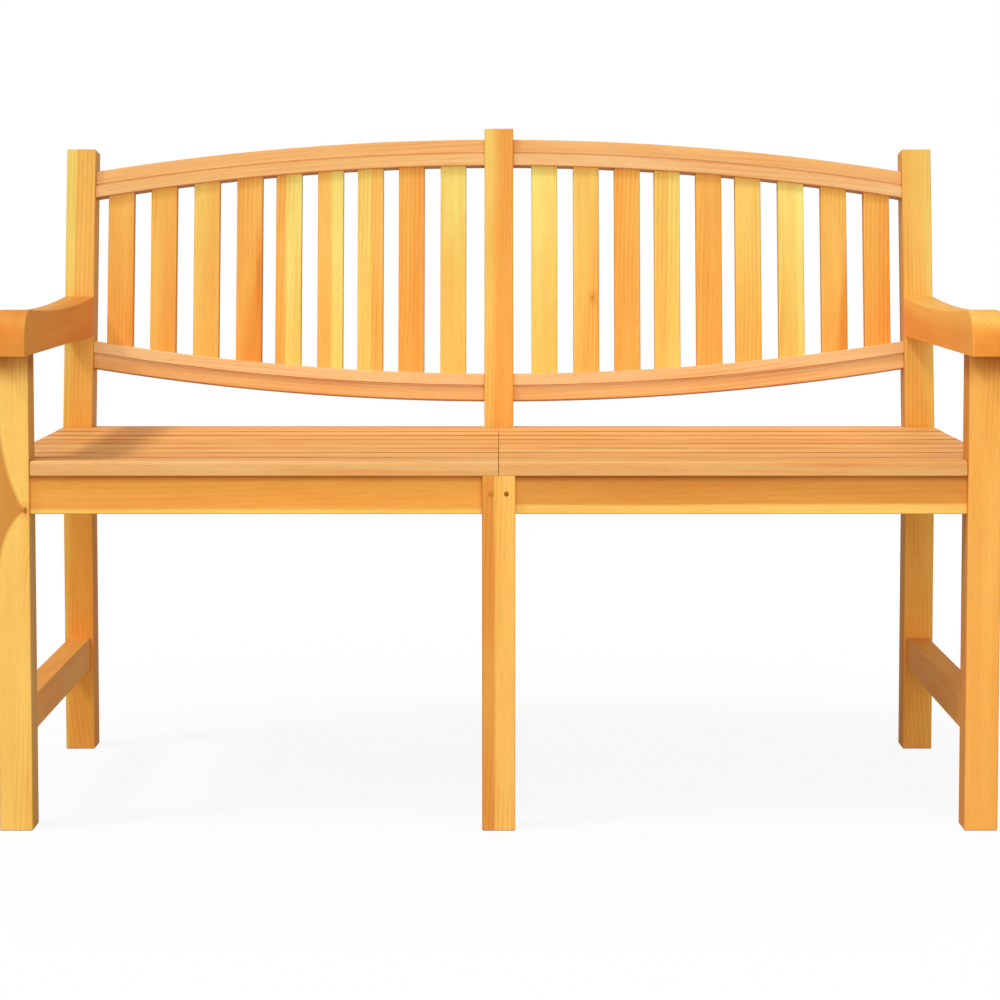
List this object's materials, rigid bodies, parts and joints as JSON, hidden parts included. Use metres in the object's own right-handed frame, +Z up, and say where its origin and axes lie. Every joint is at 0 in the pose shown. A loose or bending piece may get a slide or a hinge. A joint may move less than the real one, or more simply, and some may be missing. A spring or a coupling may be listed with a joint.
{
  "type": "garden bench",
  "caption": "Teak garden bench with an oval slatted back between raked posts, scooped arms, a slatted seat in halves and low side stretchers, to sit on outdoors.",
  "frame": {"origin": "on the ground, under the middle of the bench", "axes": "+X to the right along the bench seen from its front, +Y to its back, +Z up"},
  "size_m": [1.2, 0.6024, 0.8589],
  "materials": {
    "teak_frame": "oiled satin",
    "teak_seat_slat": "oiled satin",
    "teak_back_slat": "oiled satin",
    "teak_peg": "oiled satin"
  },
  "bodies": {
    "root": {"arm_left": "teak_frame", "arm_right": "teak_frame", "back_bottom_rail_left": "teak_frame", "back_bottom_rail_right": "teak_frame", "back_post_centre": "teak_frame", "back_post_left": "teak_frame", "back_post_right": "teak_frame", "back_slat_1_left": "teak_back_slat", "back_slat_1_right": "teak_back_slat", "back_slat_2_left": "teak_back_slat", "back_slat_2_right": "teak_back_slat", "back_slat_3_left": "teak_back_slat", "back_slat_3_right": "teak_back_slat", "back_slat_4_left": "teak_back_slat", "back_slat_4_right": "teak_back_slat", "back_slat_5_left": "teak_back_slat", "back_slat_5_right": "teak_back_slat", "back_slat_6_left": "teak_back_slat", "back_slat_6_right": "teak_back_slat", "back_slat_7_left": "teak_back_slat", "back_slat_7_right": "teak_back_slat", "back_slat_8_left": "teak_back_slat", "back_slat_8_right": "teak_back_slat", "back_slat_9_left": "teak_back_slat", "back_slat_9_right": "teak_back_slat", "back_top_rail_left": "teak_frame", "back_top_rail_right": "teak_frame", "centre_seat_rail": "teak_frame", "front_leg_centre": "teak_frame", "front_leg_left": "teak_frame", "front_leg_right": "teak_frame", "front_seat_rail_left": "teak_frame", "front_seat_rail_right": "teak_frame", "rear_seat_rail_left": "teak_frame", "rear_seat_rail_right": "teak_frame", "seat_front_slat_left": "teak_seat_slat", "seat_front_slat_right": "teak_seat_slat", "seat_rear_slat_left": "teak_seat_slat", "seat_rear_slat_right": "teak_seat_slat", "seat_slat_1_left": "teak_seat_slat", "seat_slat_1_right": "teak_seat_slat", "seat_slat_2_left": "teak_seat_slat", "seat_slat_2_right": "teak_seat_slat", "seat_slat_3_left": "teak_seat_slat", "seat_slat_3_right": "teak_seat_slat", "seat_slat_4_left": "teak_seat_slat", "seat_slat_4_right": "teak_seat_slat", "seat_slat_5_left": "teak_seat_slat", "seat_slat_5_right": "teak_seat_slat", "seat_slat_6_left": "teak_seat_slat", "seat_slat_6_right": "teak_seat_slat", "side_seat_rail_left": "teak_frame", "side_seat_rail_right": "teak_frame", "side_stretcher_left": "teak_frame", "side_stretcher_right": "teak_frame", "tenon_pegs": "teak_peg"}
  },
  "joints": []
}
